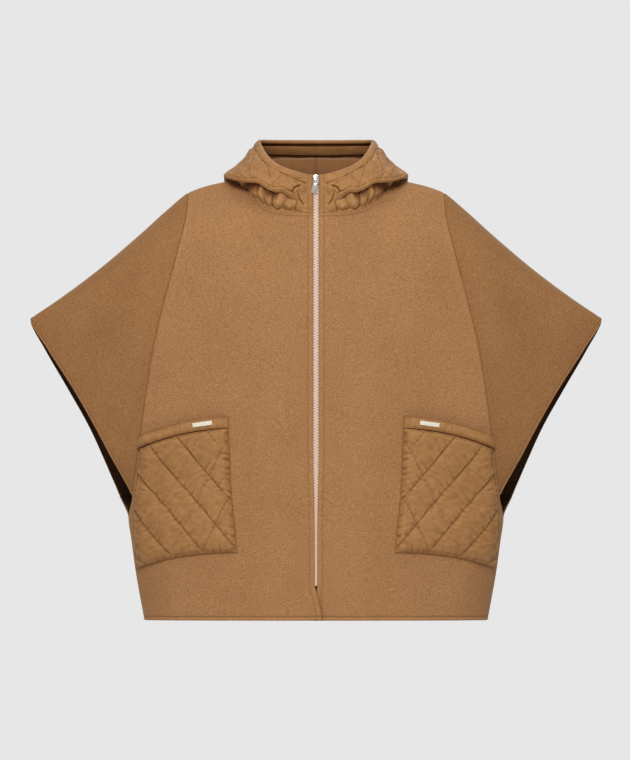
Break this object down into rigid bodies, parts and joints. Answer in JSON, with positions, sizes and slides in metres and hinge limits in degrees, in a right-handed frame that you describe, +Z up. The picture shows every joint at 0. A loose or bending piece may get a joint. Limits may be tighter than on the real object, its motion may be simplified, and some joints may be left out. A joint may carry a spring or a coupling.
{
  "type": "hooded poncho",
  "caption": "Hooded wool poncho with batwing sleeves, a quilted hood lying back, quilted patch pockets and a zip up the front; hollow, as worn.",
  "frame": {"origin": "between the shoulders at shoulder height, on the plane between front and back, where the wearer's shoulders hold the garment", "axes": "+X to the wearer's left, +Y to the back, +Z up; the front faces -Y"},
  "size_m": [0.973, 0.2749, 0.8183],
  "materials": {
    "wool": "brushed camel wool, matt",
    "nylon": "quilted nylon, soft sheen",
    "lining": "plain nylon lining",
    "tape": "woven zip tape",
    "teeth": "pale rose metal",
    "slider": "polished",
    "plate": "pale gold, bare"
  },
  "bodies": {
    "garment": {"front_left": "wool", "front_right": "wool", "back": "wool", "sleeve_front_left": "wool", "sleeve_front_right": "wool", "sleeve_back_left": "wool", "sleeve_back_right": "wool", "hood_left": "nylon", "hood_right": "nylon", "hood_lining_left": "lining", "hood_lining_right": "lining", "hood_rim": "nylon", "hood_facing_left": "nylon", "hood_facing_right": "nylon", "pocket_left": "nylon", "pocket_right": "nylon", "pocket_band_left": "nylon", "pocket_band_right": "nylon", "zip_tape_left": "tape", "zip_tape_right": "tape", "zip_teeth": "teeth", "zip_slider": "slider", "pocket_plate_left": "plate", "pocket_plate_right": "plate"},
    "zip_pull": {"zip_pull": "slider"}
  },
  "joints": [
    {"name": "pull_hinge", "type": "hinge", "parent": "garment", "child": "zip_pull", "pos_m": [0, -0.0919, 0.0172], "axis": [-1, 0, 0], "range_deg": [0, 150]}
  ]
}
